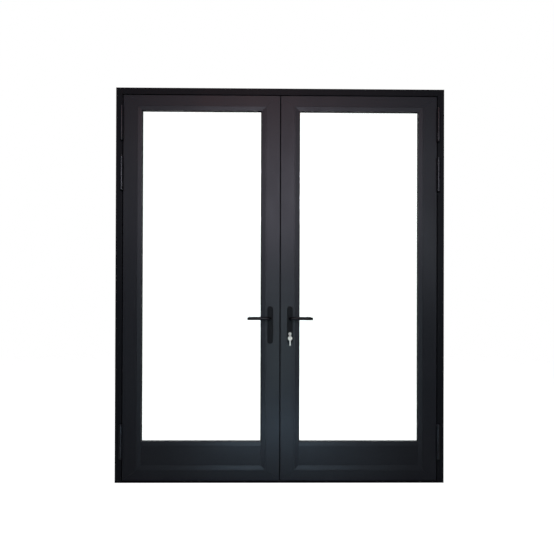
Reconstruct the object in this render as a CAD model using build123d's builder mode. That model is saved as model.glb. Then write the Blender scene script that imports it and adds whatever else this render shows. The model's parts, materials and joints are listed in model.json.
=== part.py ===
from build123d import *
from math import cos, radians, sin
import os

# A pair of glazed aluminium doors in their frame, in millimetres.
# X runs to the right and Y away from the viewer, who stands outside. Z is up from the floor.
# Every piece of a leaf is drawn for the right leaf. The left leaf is its mirror image.

# Whole unit
unit_width = 2000
unit_height = 2400

# Clearances that several pieces share
joint_gap = 0.3  # hairline where two fixed pieces meet
running_fit = 0.05  # radial play of a shaft in its hole

# Extruded sections
wall = 2  # thickness of every hollow section
edge_radius = 1  # rounding of the edges that show
leaf_depth = 60
stile_box = 84.5  # tube part of a stile, across its face
rail_box = 64  # tube part of a rail, up its face

# Outer frame
frame_face = 40
frame_depth = 80
stop_lap = 14  # how far the stop reaches behind a leaf
stop_gap = 5  # between the back of a leaf and the stop
leaf_gap = 5  # between the edge of a leaf and the frame
meeting_gap = 6  # between the two leaves
frame_seal_width = 8
frame_seal_round = 2
fixing_hole_radius = 3.25
fixing_spread = 1600  # between the outer pair of holes in a jamb
fixing_inner_spread = 600  # between the inner pair

# Threshold
sill_height = 8
sill_nose = 3  # height of its front edge
sill_ramp = 14  # length of the slope behind that edge

# Glazing
lip_face = 19  # fixed lip on the inside, up its face
lip_depth = 16
lip_bevel = 10
bead_face = 28  # loose bead on the outside, up its face
bead_depth = 12.5
bead_slope = 2.5  # how far the bead falls back towards the glass
bead_land = 3  # flat strip beside the stile before the slope
pane = 6
pane_space = 12
edge_clearance = 6  # between the glass edge and the tube behind it
outer_gasket = 3.5
inner_gasket = 4
gasket_face = 9
gasket_set_back = 2  # from the daylight edge
spacer_face = 8
spacer_set_back = 2
block_length = 100
block_inset = 90  # from the end of the glass to a setting block

# Kick panel
kick_height = 117  # of the face that shows
kick_set_back = 2  # behind the faces of the stiles
tongue_clearance = 1

# Corner cleats
cleat_arm = 150
cleat_wall = 4
leaf_cleat_start = 37  # from the leaf's edge, clear of the bolts
frame_cleat_arm = 110

# Hinges
barrel_radius = 10
barrel_length = 200
barrel_stand_off = 1  # between the barrel and the faces behind it
knuckle_gap = 0.5
pin_radius = 4
cap_height = 5
leaf_plate = 2
plate_reach = 50  # from beside the barrel's centre into the gap
barrel_offset = 5  # of a barrel's middle, outwards from the middle of the gap
hinge_from_top = 74  # from the top of a leaf to its highest barrel
hinge_from_bottom = 139
upper_hinge_gap = 103  # between the barrels of the upper two hinges

# Meeting seal
fin_thickness = 2
fin_set_back = 7
fin_tip_gap = 0.2

# Handles
handle_height = 998
handle_backset = 57  # from the meeting edge to the lever's axis
plate_width = 34
plate_length = 228
plate_thickness = 9
plate_above = 75  # from the lever's axis to the top of its plate
plate_edge_radius = 2.5
neck_radius = 9
lever_reach = 137  # from the lever's axis to its tip
lever_projection = 55  # from the face of the leaf to the front of the bar
lever_bend = 18
bend_middle = (8, 8.8)  # half depth and half height of the lever halfway round its bend
bar_root = (7, 8.6)
bar_middle = (6.4, 8.2)
bar_tip = (6, 8.3)
bar_return = 2.6  # how far the tip leans back to the leaf
tip_round = 2.6
shoulder_share = 0.7  # of the tip's rounding, to its shoulder
tip_shoulder = (5.3, 7.6)
tip_end = (3.8, 6)
spindle_side = 8
spindle_socket = 24
spindle_hole_radius = 7

# Lock and bolts
case_back = 78  # from the meeting edge
case_thickness = 18
case_top = 48  # above the lever's axis
gear_case_bottom = 48  # below the lever's axis
lock_case_bottom = 152
forend_width = 20
forend_overhang = 12
hub_radius = 12
bolt_line = 23  # from the meeting edge to the middle of a bolt
bolt_radius = 5
bolt_throw = 20
bolt_end_room = 6  # beyond a thrown bolt in the head
top_bolt_set_back = 5  # of a drawn bolt's end inside the leaf
bottom_bolt_set_back = 8
bolt_chamfer = 1
bolt_hold = 38  # length of a bolt that stays in its case
keep_radius = 5.5
keep_wall = 1.5
keep_flange = 3.5
keep_flange_thickness = 1.5

# Cylinder and keys
cylinder_drop = 92  # below the lever's axis
cylinder_radius = 8.5
cylinder_body_width = 10
cylinder_height = 33
cylinder_stand_out = 3  # beyond the face of its plate
plug_radius = 6.5
key_thickness = 2
blade_width = 8
blade_length = 28
bit_radius = 1.3  # of the cuts along a key's blade
bit_spacing = 5.5
bit_count = 4
keyway_play = 0.15
bow_radius = 13
bow_stand_off = 2  # of a key's bow from the cylinder
key_hole_radius = 2.8
key_hole_edge = 2.2
ring_radius = 7.6
ring_wire = 0.75
ring_turn = 45  # degrees that the ring has turned away from the faces of the doors
ring_seat_gap = 0.75  # between the ring and the rim of the hole that it hangs in
spare_drop = 1.1  # from the ring's wire down to the middle of the spare key's hole

# Deadbolt
deadbolt_height = 30
deadbolt_thickness = 12
deadbolt_length = 38
deadbolt_throw = 20
deadbolt_set_back = 3  # of its end inside the leaf's edge
deadbolt_play = 0.3
deadbolt_keep_wall = 1.5
deadbolt_end_room = 3.5  # beyond the thrown deadbolt in its keep

# Places that follow from the sizes above
front = -leaf_depth / 2
back = leaf_depth / 2
frame_back = front + frame_depth
stop_front = back + stop_gap
stop_reach = leaf_gap + stop_lap  # of the stop, past the face of the frame
reveal = unit_width / 2 - frame_face  # half of the opening between the jambs
leaf_outer = reveal - leaf_gap
leaf_inner = meeting_gap / 2
leaf_bottom = sill_height + leaf_gap
leaf_top = unit_height - frame_face - leaf_gap
leaf_width = leaf_outer - leaf_inner
leaf_height = leaf_top - leaf_bottom
lip_front = back - lip_depth
bead_back = front + bead_depth
outer_pane_front = bead_back + outer_gasket
outer_pane_back = outer_pane_front + pane
inner_pane_front = outer_pane_back + pane_space
inner_pane_back = inner_pane_front + pane
handle_x = leaf_inner + handle_backset
bolt_x = leaf_inner + bolt_line
cylinder_z = handle_height - cylinder_drop
plate_middle = handle_height + plate_above - plate_length / 2
plate_face = front - plate_thickness
gap_x = reveal - leaf_gap / 2
hinge_x = gap_x + barrel_offset
hinge_y = front - barrel_stand_off - barrel_radius
top_hinge_z = leaf_top - hinge_from_top - barrel_length / 2
second_hinge_z = top_hinge_z - barrel_length - upper_hinge_gap
bottom_hinge_z = leaf_bottom + hinge_from_bottom + barrel_length / 2
head_keep_depth = bolt_throw - top_bolt_set_back - leaf_gap + bolt_end_room
deadbolt_keep_depth = deadbolt_throw - deadbolt_set_back - meeting_gap + deadbolt_end_room
kick_bottom = leaf_bottom + rail_box + bead_face
kick_top = kick_bottom + kick_height
through = 2 * frame_depth  # longer than any piece is deep
overrun = 0.1  # share by which a mitre runs on past its corner


# How a round piece lies on the height that it is placed at
standing = (Align.CENTER, Align.CENTER, Align.MIN)
hanging = (Align.CENTER, Align.CENTER, Align.MAX)


def save(piece, name):
    """Name a finished piece and write it."""
    piece.part.label = name
    export_step(piece.part, f"parts/{name}.step")


def save_left(piece, name):
    """Write the mirror image of a piece that was drawn for the right side."""
    with BuildPart() as twin:
        mirror(piece.part, about=Plane.YZ)
    save(twin, "left_" + name)


def save_pair(piece, name):
    """Write a piece for the right side and its mirror image for the left."""
    save(piece, "right_" + name)
    save_left(piece, name)


def hollow_section(points):
    """A closed outline with rounded front edges, hollowed to the wall thickness."""
    with BuildSketch() as section:
        with BuildLine():
            Polyline(*points, close=True)
        make_face()
        offset(amount=-wall, kind=Kind.INTERSECTION, mode=Mode.SUBTRACT)
        outer = section.face().outer_wire().vertices()
        fillet(outer.group_by(Axis.Y)[0], radius=edge_radius)
    return section.sketch


def cut_member(section, plane, length, outline):
    """Extrude a section along one edge and cut its ends to an outline seen from the front."""
    with BuildPart() as member:
        with BuildSketch(plane):
            add(section)
        extrude(amount=length)
        with BuildSketch(Plane.XZ):
            with BuildLine():
                Polyline(*outline, close=True)
            make_face()
            offset(amount=-joint_gap / 2, kind=Kind.INTERSECTION)
        extrude(amount=through, both=True, mode=Mode.INTERSECT)
    return member


# Outer frame

frame_outline = [
    (0, front),
    (frame_face, front),
    (frame_face, stop_front),
    (frame_face + stop_reach, stop_front),
    (frame_face + stop_reach, frame_back),
    (0, frame_back),
]
frame_section = hollow_section(frame_outline)
frame_mitre = frame_face + stop_reach + wall
half_unit = unit_width / 2


def frame_corner(side):
    """The mitre at one top corner, from outside the frame to past its stop."""
    return [
        (side * (half_unit + frame_face), unit_height + frame_face),
        (side * (half_unit - frame_mitre), unit_height - frame_mitre),
    ]


def make_head():
    outline = frame_corner(-1) + frame_corner(1)[::-1]
    plane = Plane(origin=(-half_unit, 0, unit_height), x_dir=(0, 0, -1), z_dir=(1, 0, 0))
    with BuildPart() as head:
        add(cut_member(frame_section, plane, unit_width, outline).part)
        with Locations(
            *[(side * bolt_x, 0, unit_height - frame_face) for side in (-1, 1)]
        ):
            Cylinder(keep_radius + keep_wall + joint_gap, 3 * wall, mode=Mode.SUBTRACT)
    save(head, "head")


def make_jambs():
    """Jambs stand on the floor, mitred to the head, with holes for the screws to the wall."""
    foot = -joint_gap
    outline = [(half_unit - frame_mitre, foot), (half_unit + frame_face, foot)]
    plane = Plane(origin=(half_unit, 0, unit_height), x_dir=(-1, 0, 0), z_dir=(0, 0, -1))
    heights = [
        unit_height / 2 + sign * spread / 2
        for spread in (fixing_spread, fixing_inner_spread)
        for sign in (-1, 1)
    ]
    with BuildPart() as jamb:
        add(cut_member(frame_section, plane, unit_height, outline + frame_corner(1)).part)
        with Locations(*[(half_unit - frame_face / 2, 0, z) for z in heights]):
            Cylinder(
                fixing_hole_radius, 2 * frame_face, rotation=(0, 90, 0), mode=Mode.SUBTRACT
            )
    save_pair(jamb, "jamb")


def make_threshold():
    """A low sill between the jambs, notched round their stops."""
    stop_top = sill_height + stop_reach
    outline = [
        (front, 0),
        (frame_back, 0),
        (frame_back, stop_top),
        (stop_front, stop_top),
        (stop_front, sill_height),
        (front + sill_ramp, sill_height),
        (front, sill_nose),
    ]
    with BuildPart() as threshold:
        with BuildSketch(Plane.YZ.offset(-(reveal - joint_gap))):
            with BuildLine():
                Polyline(*outline, close=True)
            make_face()
        extrude(amount=2 * (reveal - joint_gap))
        with BuildSketch(Plane.YZ.offset(-reveal)):
            with BuildLine():
                Polyline(*outline, close=True)
            make_face()
            offset(amount=-wall, kind=Kind.INTERSECTION)
        extrude(amount=2 * reveal, mode=Mode.SUBTRACT)
        notch = stop_reach + joint_gap
        notch_depth = frame_back - stop_front + joint_gap
        with Locations(*[(side * reveal, frame_back, 0) for side in (-1, 1)]):
            Box(2 * notch, 2 * notch_depth, 4 * stop_top, mode=Mode.SUBTRACT)
        with Locations(*[(side * bolt_x, 0, 0) for side in (-1, 1)]):
            Cylinder(
                keep_radius + keep_wall + joint_gap, 4 * sill_height, mode=Mode.SUBTRACT
            )
    save(threshold, "threshold")


def make_frame_seals():
    """Soft seals on the four stops, which the backs of the leaves close on."""
    seal_depth = stop_gap - joint_gap
    side_x = reveal - stop_reach + frame_seal_width / 2
    top_z = unit_height - frame_face - stop_reach + frame_seal_width
    bottom_z = sill_height + stop_reach - frame_seal_width
    with BuildPart() as seals:
        with BuildSketch(Plane.XZ.offset(-stop_front)):
            for side in (-1, 1):
                with Locations((side * side_x, (top_z + bottom_z) / 2)):
                    Rectangle(frame_seal_width, top_z - bottom_z)
            for z in (top_z - frame_seal_width / 2, bottom_z + frame_seal_width / 2):
                with Locations((0, z)):
                    Rectangle(
                        2 * side_x - frame_seal_width - 2 * joint_gap, frame_seal_width
                    )
        extrude(amount=seal_depth)
        soft = seals.edges().group_by(Axis.Y)[0]
        fillet(soft, radius=frame_seal_round)
    save(seals, "frame_seals")


def cleat_outline(start, end, arm, side_width, end_width):
    """An L seen from the front, as lists of points inwards from the two edges of a corner."""
    return [
        (start, end),
        (arm, end),
        (arm, end_width),
        (side_width, end_width),
        (side_width, arm),
        (start, arm),
    ]


def make_frame_cleats():
    """Two hollow L pieces that join the jambs to the head from inside."""
    near = wall + joint_gap
    far = frame_face - wall - joint_gap
    with BuildPart() as cleats:
        for side in (-1, 1):
            outline = [
                (side * (half_unit - across), unit_height - along)
                for across, along in cleat_outline(near, near, frame_cleat_arm, far, far)
            ]
            with BuildSketch(Plane.XZ.offset(-(frame_back - wall - joint_gap))):
                with BuildLine():
                    Polyline(*outline, close=True)
                make_face()
                offset(amount=-cleat_wall, kind=Kind.INTERSECTION, mode=Mode.SUBTRACT)
            extrude(amount=frame_depth - 2 * (wall + joint_gap))
    save(cleats, "frame_corner_cleats")


def make_bolt_keeps():
    """Flanged bushes in the head and the threshold, which the bolts slide into."""
    outer = keep_radius + keep_wall
    flange = keep_radius + keep_flange
    head_face = unit_height - frame_face
    with BuildPart() as head_keeps:
        with Locations(*[(side * bolt_x, 0, head_face) for side in (-1, 1)]):
            Cylinder(flange, keep_flange_thickness, align=hanging)
            Cylinder(outer, head_keep_depth, align=standing)
            Cylinder(keep_radius, 4 * head_keep_depth, mode=Mode.SUBTRACT)
    save(head_keeps, "head_bolt_keeps")

    with BuildPart() as sill_keeps:
        with Locations(*[(side * bolt_x, 0, sill_height) for side in (-1, 1)]):
            Cylinder(flange, keep_flange_thickness, align=standing)
            Cylinder(outer, sill_height - joint_gap, align=hanging)
            Cylinder(keep_radius, 4 * sill_height, mode=Mode.SUBTRACT)
    save(sill_keeps, "threshold_bolt_keeps")


# Leaves

def leaf_point(edge, end, across, along):
    """A point of the right leaf, measured inwards from one of its edges and one of its ends."""
    x = leaf_inner + across if edge == "meeting" else leaf_outer - across
    z = leaf_bottom + along if end == "bottom" else leaf_top - along
    return (x, z)


def leaf_plane(edge):
    """Section plane of a stile or rail: its first axis points into the leaf."""
    return {
        "hinge": Plane(
            origin=(leaf_outer, 0, leaf_top), x_dir=(-1, 0, 0), z_dir=(0, 0, -1)
        ),
        "meeting": Plane(
            origin=(leaf_inner, 0, leaf_bottom), x_dir=(1, 0, 0), z_dir=(0, 0, 1)
        ),
        "top": Plane(origin=(leaf_inner, 0, leaf_top), x_dir=(0, 0, -1), z_dir=(1, 0, 0)),
        "bottom": Plane(
            origin=(leaf_outer, 0, leaf_bottom), x_dir=(0, 0, 1), z_dir=(-1, 0, 0)
        ),
    }[edge]


def member_outline(edge, mitre):
    """The outline of a stile or rail, with the points of its mitre given inwards from a corner."""
    if edge in ("hinge", "meeting"):
        corners = [(edge, "bottom"), (edge, "top")]
    else:
        corners = [("meeting", edge), ("hinge", edge)]
    first, last = [
        [leaf_point(*corner, across, along) for across, along in mitre] for corner in corners
    ]
    return first + last[::-1]


def member_section(box):
    """A tube with the fixed inner lip of the glazing along one side."""
    return hollow_section(
        [
            (0, front),
            (box, front),
            (box, lip_front),
            (box + lip_face, lip_front),
            (box + lip_face, back - lip_bevel),
            (box + lip_face - lip_bevel, back),
            (0, back),
        ]
    )


member_mitre = [
    (-overrun * stile_box, -overrun * rail_box),
    (stile_box, rail_box),
    (stile_box + bead_face, rail_box + bead_face),
]


def leaf_member(edge):
    """One stile or rail of the right leaf, mitred at both ends."""
    upright = edge in ("hinge", "meeting")
    section = member_section(stile_box if upright else rail_box)
    length = leaf_height if upright else leaf_width
    return cut_member(section, leaf_plane(edge), length, member_outline(edge, member_mitre))


def euro_outline(play, plane):
    """The outline of a profile cylinder, round above with a narrow body below."""
    body = cylinder_height - cylinder_radius
    with BuildSketch(plane) as outline:
        with Locations((handle_x, cylinder_z)):
            Circle(cylinder_radius + play)
            with Locations((0, -body / 2)):
                SlotOverall(
                    body + 2 * play + cylinder_body_width,
                    cylinder_body_width + 2 * play,
                    rotation=90,
                )
        with Locations((handle_x, cylinder_z - body - play)):
            Rectangle(
                2 * cylinder_radius,
                cylinder_radius,
                align=(Align.CENTER, Align.MAX),
                mode=Mode.SUBTRACT,
            )
    return outline.sketch


def forend_slot(bottom, top):
    """Middle and size of the slot that a forend fills in the wall of a meeting edge."""
    return (
        (leaf_inner + wall / 2, 0, (bottom + top) / 2),
        (2 * wall, forend_width + 2 * joint_gap, top - bottom + 2 * joint_gap),
    )


gear_forend = (
    handle_height - gear_case_bottom - forend_overhang,
    handle_height + case_top + forend_overhang,
)
lock_forend = (
    handle_height - lock_case_bottom - forend_overhang,
    handle_height + case_top + forend_overhang,
)
keep_forend = (
    cylinder_z - deadbolt_height / 2 - forend_overhang,
    cylinder_z + deadbolt_height / 2 + forend_overhang,
)


def meeting_stile(slots, keyed):
    """A meeting stile, with the spindle's hole, the slots of its forends and a lock's hole."""
    with BuildPart() as stile:
        add(leaf_member("meeting").part)
        for bottom, top in slots:
            middle, size = forend_slot(bottom, top)
            with Locations(middle):
                Box(*size, mode=Mode.SUBTRACT)
        with Locations((handle_x, 0, handle_height)):
            Cylinder(
                spindle_hole_radius, through, rotation=(90, 0, 0), mode=Mode.SUBTRACT
            )
        if keyed:
            extrude(
                euro_outline(joint_gap, Plane.XZ),
                amount=through,
                both=True,
                mode=Mode.SUBTRACT,
            )
    return stile


def rail(edge):
    """A top or bottom rail, with the hole that its bolt slides through."""
    z = leaf_top if edge == "top" else leaf_bottom
    with BuildPart() as rail_part:
        add(leaf_member(edge).part)
        with Locations((bolt_x, 0, z)):
            Cylinder(bolt_radius + running_fit, 3 * wall, mode=Mode.SUBTRACT)
    return rail_part


def make_leaf_frames():
    save_pair(leaf_member("hinge"), "hinge_stile")
    save(meeting_stile([lock_forend], keyed=True), "right_meeting_stile")
    save_left(meeting_stile([gear_forend, keep_forend], keyed=False), "meeting_stile")
    save_pair(rail("top"), "top_rail")
    save_pair(rail("bottom"), "bottom_rail")


def make_kick_panel():
    """A hollow plank between the beads, with a tongue round three sides behind them.

    Its top carries the glass, with the same inner lip as the stiles.
    """
    foot = leaf_bottom + rail_box + joint_gap
    panel_front = front + kick_set_back
    panel_back = back - kick_set_back
    tongue_front = bead_back + joint_gap
    tongue_back = lip_front - joint_gap
    lip_foot = leaf_bottom + rail_box + lip_face + joint_gap
    outline = [
        (panel_front, kick_bottom + joint_gap),
        (tongue_front, kick_bottom + joint_gap),
        (tongue_front, foot),
        (tongue_back, foot),
        (tongue_back, lip_foot),
        (panel_back, lip_foot),
        (panel_back, kick_top + lip_face - lip_bevel),
        (panel_back - lip_bevel, kick_top + lip_face),
        (lip_front, kick_top + lip_face),
        (lip_front, kick_top),
        (panel_front, kick_top),
    ]
    start = leaf_inner + stile_box + tongue_clearance
    end = leaf_outer - stile_box - tongue_clearance
    with BuildPart() as kick:
        with BuildSketch(Plane.YZ.offset(start)):
            add(hollow_section(outline))
        extrude(amount=end - start)
        front_cope = bead_face - tongue_clearance + joint_gap
        back_cope = lip_face - tongue_clearance + joint_gap
        height = 2 * (kick_top + lip_face)
        with Locations((start, front, 0), (end, front, 0)):
            Box(2 * front_cope, 2 * (tongue_front - front), height, mode=Mode.SUBTRACT)
        with Locations((start, back, 0), (end, back, 0)):
            Box(2 * back_cope, 2 * (back - tongue_back), height, mode=Mode.SUBTRACT)
    save_pair(kick, "kick_panel")


def bead_section(box):
    """A hollow bead that slopes from the face of a stile back to the glass."""
    start = box + joint_gap
    tip = box + bead_face
    tip_face = front + bead_slope
    skin = wall / 2
    with BuildSketch() as section:
        with BuildLine():
            Polyline(
                (start, front),
                (start + bead_land, front),
                (tip, tip_face),
                (tip, bead_back),
                (start, bead_back),
                close=True,
            )
        make_face()
        offset(amount=-skin, kind=Kind.INTERSECTION, mode=Mode.SUBTRACT)
        corner = section.face().outer_wire().vertices().group_by(Axis.X)[-1]
        fillet(corner.sort_by(Axis.Y)[0], radius=edge_radius)
    return section.sketch


def make_beads():
    """Four mitred beads round the opening, and a fifth across the top of the kick panel."""
    before = -bead_land
    beyond = bead_face + bead_land
    mitre = [(stile_box + reach, rail_box + reach) for reach in (before, beyond)]
    daylight = leaf_width - 2 * (stile_box + bead_face)
    cross_start = leaf_inner + stile_box + bead_face + joint_gap
    with BuildPart() as beads:
        for edge in ("hinge", "meeting", "top", "bottom"):
            upright = edge in ("hinge", "meeting")
            section = bead_section(stile_box if upright else rail_box)
            length = leaf_height if upright else leaf_width
            add(
                cut_member(section, leaf_plane(edge), length, member_outline(edge, mitre)).part
            )
        plane = Plane(
            origin=(cross_start, 0, kick_top), x_dir=(0, 0, 1), z_dir=(-1, 0, 0)
        )
        with BuildSketch(plane):
            add(bead_section(0))
        extrude(amount=-(daylight - 2 * joint_gap))
    save_pair(beads, "glazing_beads")


daylight_left = leaf_inner + stile_box
daylight_right = leaf_outer - stile_box
pocket_width = daylight_right - daylight_left
pocket_top = leaf_top - rail_box
pocket_height = pocket_top - kick_top
pocket_middle = ((daylight_left + daylight_right) / 2, (kick_top + pocket_top) / 2)
glass_width = pocket_width - 2 * edge_clearance
glass_height = pocket_height - 2 * edge_clearance


def make_glass_unit():
    """Two panes held apart by a spacer, on two blocks, between an outer and an inner gasket."""
    with BuildPart() as panes:
        for face in (outer_pane_front, inner_pane_front):
            with BuildSketch(Plane.XZ.offset(-face)):
                with Locations(pocket_middle):
                    Rectangle(glass_width, glass_height)
            extrude(amount=-pane)
    save_pair(panes, "glass_panes")

    with BuildPart() as spacer:
        width = glass_width - 2 * spacer_set_back
        height = glass_height - 2 * spacer_set_back
        with BuildSketch(Plane.XZ.offset(-outer_pane_back)):
            add(flat_ring(width, height, spacer_face))
        extrude(amount=-pane_space)
    save_pair(spacer, "pane_spacer")

    with BuildPart() as gaskets:
        edge = gasket_set_back
        width = pocket_width - 2 * (bead_face - edge - gasket_face)
        height = pocket_height - 2 * (bead_face - edge - gasket_face)
        with BuildSketch(Plane.XZ.offset(-bead_back)):
            add(flat_ring(width, height, gasket_face))
        extrude(amount=-outer_gasket)
        width = pocket_width - 2 * (lip_face - edge - gasket_face)
        height = pocket_height - 2 * (lip_face - edge - gasket_face)
        with BuildSketch(Plane.XZ.offset(-inner_pane_back)):
            add(flat_ring(width, height, gasket_face))
        extrude(amount=-inner_gasket)
    save_pair(gaskets, "glazing_gaskets")

    with BuildPart() as blocks:
        spread = glass_width / 2 - block_inset - block_length / 2
        depth = inner_pane_back - outer_pane_front
        for sign in (-1, 1):
            with Locations(
                (
                    pocket_middle[0] + sign * spread,
                    (inner_pane_back + outer_pane_front) / 2,
                    kick_top + edge_clearance / 2,
                )
            ):
                Box(block_length, depth, edge_clearance)
    save_pair(blocks, "setting_blocks")


def flat_ring(width, height, face):
    """A rectangular ring about the middle of the glass."""
    with BuildSketch() as ring_sketch:
        with Locations(pocket_middle):
            Rectangle(width, height)
            Rectangle(width - 2 * face, height - 2 * face, mode=Mode.SUBTRACT)
    return ring_sketch.sketch


def cleat_fit(box, other_box):
    """How far a cleat's arm reaches across a tube, inside its wall and inside the mitre."""
    return min(box - wall, box * (other_box - wall) / other_box) - joint_gap


def make_leaf_cleats():
    """Hollow L pieces inside the four corners of a leaf, clear of the bolts."""
    start = leaf_cleat_start
    end = start * rail_box / stile_box
    side_width = cleat_fit(stile_box, rail_box)
    end_width = cleat_fit(rail_box, stile_box)
    with BuildPart() as cleats:
        for edge in ("meeting", "hinge"):
            for leaf_end in ("bottom", "top"):
                outline = [
                    leaf_point(edge, leaf_end, across, along)
                    for across, along in cleat_outline(
                        start, end, cleat_arm, side_width, end_width
                    )
                ]
                with BuildSketch(Plane.XZ.offset(-(back - wall - joint_gap))):
                    with BuildLine():
                        Polyline(*outline, close=True)
                    make_face()
                    offset(
                        amount=-cleat_wall, kind=Kind.INTERSECTION, mode=Mode.SUBTRACT
                    )
                extrude(amount=leaf_depth - 2 * (wall + joint_gap))
    save_pair(cleats, "corner_cleats")


def make_meeting_seals():
    """A fin down the meeting edge, which almost touches the fin of the other leaf."""
    with BuildPart() as fin:
        with BuildSketch(Plane.XY.offset(leaf_bottom)):
            with Locations((leaf_inner, front + fin_set_back)):
                Rectangle(
                    leaf_inner - fin_tip_gap, fin_thickness, align=(Align.MAX, Align.MIN)
                )
        extrude(amount=leaf_height)
    save_pair(fin, "meeting_seal")


# Hinges

def make_hinges():
    """Lift-off hinges: the frame's half has the two end knuckles and the leaf's the middle one."""
    third = barrel_length / 3
    bore = pin_radius + running_fit
    inner_edge = running_fit + joint_gap / 2
    clear = barrel_radius + knuckle_gap

    def half_hinge(side, middle):
        """One half at height 0: its plate lies in the gap, on the jamb's or the leaf's side."""
        with BuildPart() as half:
            with BuildSketch(Plane.XY.offset(-barrel_length / 2)):
                with Locations((gap_x + side * inner_edge, hinge_y)):
                    Rectangle(
                        leaf_plate,
                        plate_reach,
                        align=(Align.MIN if side > 0 else Align.MAX, Align.MIN),
                    )
            extrude(amount=barrel_length)
            with BuildSketch(Plane.XY.offset(-barrel_length / 2)):
                with Locations((hinge_x, hinge_y)):
                    Circle(barrel_radius)
            extrude(amount=barrel_length)
            gap = knuckle_gap / 2
            if middle:
                rooms = [
                    (-barrel_length / 2 - 1, -third / 2 + gap),
                    (third / 2 - gap, barrel_length / 2 + 1),
                ]
            else:
                rooms = [(-third / 2 - gap, third / 2 + gap)]
            for low, high in rooms:
                with BuildSketch(Plane.XY.offset(low)):
                    with Locations((hinge_x, hinge_y)):
                        Circle(clear)
                extrude(amount=high - low, mode=Mode.SUBTRACT)
            with Locations((hinge_x, hinge_y, 0)):
                Cylinder(bore, 2 * barrel_length, mode=Mode.SUBTRACT)
        return half

    frame_half = half_hinge(1, middle=False)
    leaf_half = half_hinge(-1, middle=True)
    places = [Location((0, 0, z)) for z in (bottom_hinge_z, second_hinge_z, top_hinge_z)]

    with BuildPart() as frame_halves:
        for place in places:
            add(frame_half.part.moved(place))
        mirror(about=Plane.YZ)
    save(frame_halves, "hinge_frame_halves")

    with BuildPart() as leaf_halves:
        for place in places:
            add(leaf_half.part.moved(place))
    save_pair(leaf_halves, "hinge_leaf_halves")

    with BuildPart() as pin:
        with BuildSketch(Plane.XZ.offset(-hinge_y)):
            with BuildLine():
                shoulder = barrel_length / 2 + joint_gap
                top = shoulder + cap_height
                Polyline(
                    (hinge_x, -top),
                    (hinge_x + barrel_radius, -top),
                    (hinge_x + barrel_radius, -shoulder),
                    (hinge_x + pin_radius, -shoulder),
                    (hinge_x + pin_radius, shoulder),
                    (hinge_x + barrel_radius, shoulder),
                    (hinge_x + barrel_radius, top),
                    (hinge_x, top),
                    close=True,
                )
            make_face()
        revolve(axis=Axis((hinge_x, hinge_y, 0), (0, 0, 1)))
        rims = pin.edges().filter_by(GeomType.CIRCLE).group_by(Axis.Z)
        fillet(rims[0] + rims[-1], radius=cap_height - 1)
    with BuildPart() as pins:
        for place in places:
            add(pin.part.moved(place))
        mirror(about=Plane.YZ)
    save(pins, "hinge_pins")


# Handles

def handle_plate(keyed):
    """The outer plate of a handle, a round-ended bar with a bearing for the lever's neck."""
    with BuildPart() as plate:
        with BuildSketch(Plane.XZ.offset(-front)):
            with Locations((handle_x, plate_middle)):
                SlotOverall(plate_length, plate_width, rotation=90)
        extrude(amount=plate_thickness)
        fillet(plate.faces().sort_by(Axis.Y)[0].edges(), radius=plate_edge_radius)
        with Locations((handle_x, front, handle_height)):
            Cylinder(
                neck_radius + running_fit,
                4 * plate_thickness,
                rotation=(90, 0, 0),
                mode=Mode.SUBTRACT,
            )
        if keyed:
            extrude(
                euro_outline(joint_gap, Plane.XZ),
                amount=through,
                both=True,
                mode=Mode.SUBTRACT,
            )
    return plate


def lever_section(x, y, turn, half_depth, half_height):
    """An oval section of the lever, square to a centre line that has turned by some degrees."""
    a = radians(turn)
    plane = Plane(
        origin=(x, y, handle_height), x_dir=(cos(a), sin(a), 0), z_dir=(sin(a), -cos(a), 0)
    )
    with BuildSketch(plane) as oval:
        Ellipse(half_depth, half_height)
    return oval.sketch


def make_lever():
    """A neck that bends into a bar, oval and thinner towards its tip, with a spindle socket."""
    bar_y = front - lever_projection + bar_root[0]
    corner = lever_bend * (1 - cos(radians(45)))
    bar_end = handle_x + lever_reach - tip_round
    neck_end = lever_section(handle_x, bar_y + lever_bend, 0, neck_radius, neck_radius)
    root = lever_section(handle_x + lever_bend, bar_y, 90, *bar_root)
    tip = lever_section(bar_end, bar_y + bar_return, 90, *bar_tip)
    in_bend = lever_section(handle_x + corner, bar_y + corner, 45, *bend_middle)
    halfway = lever_section(
        handle_x + lever_reach / 2, bar_y + bar_return / 4, 90, *bar_middle
    )
    shoulder = lever_section(bar_end + shoulder_share * tip_round, bar_y + bar_return, 90, *tip_shoulder)
    end = lever_section(bar_end + tip_round, bar_y + bar_return, 90, *tip_end)
    with BuildPart() as lever:
        with Locations((handle_x, bar_y + lever_bend, handle_height)):
            Cylinder(
                neck_radius,
                front - joint_gap - bar_y - lever_bend,
                rotation=(90, 0, 0),
                align=hanging,
            )
        loft([neck_end, in_bend, root])
        loft([root, halfway, tip])
        loft([tip, shoulder, end])
        socket = spindle_side + 2 * running_fit
        with Locations((handle_x, front - spindle_socket / 2, handle_height)):
            Box(socket, spindle_socket + joint_gap, socket, mode=Mode.SUBTRACT)
    return lever


def make_handles():
    plain = handle_plate(keyed=False)
    keyed = handle_plate(keyed=True)
    lever = make_lever()
    for piece, name in ((keyed, "handle_plate"), (lever, "lever")):
        save(piece, "right_outer_" + name)
        with BuildPart() as inner:
            mirror(piece.part, about=Plane.XZ)
        save(inner, "right_inner_" + name)
    for piece, name in ((plain, "handle_plate"), (lever, "lever")):
        save_left(piece, "outer_" + name)
        with BuildPart() as inner:
            mirror(piece.part, about=Plane.XZ)
        save_left(inner, "inner_" + name)

    with BuildPart() as spindle:
        with Locations((handle_x, 0, handle_height)):
            Box(
                spindle_side,
                leaf_depth + 2 * (spindle_socket - 2 * joint_gap),
                spindle_side,
            )
            Cylinder(hub_radius, case_thickness, rotation=(90, 0, 0))
    save_pair(spindle, "spindle")


# Lock, bolts and keys

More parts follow.
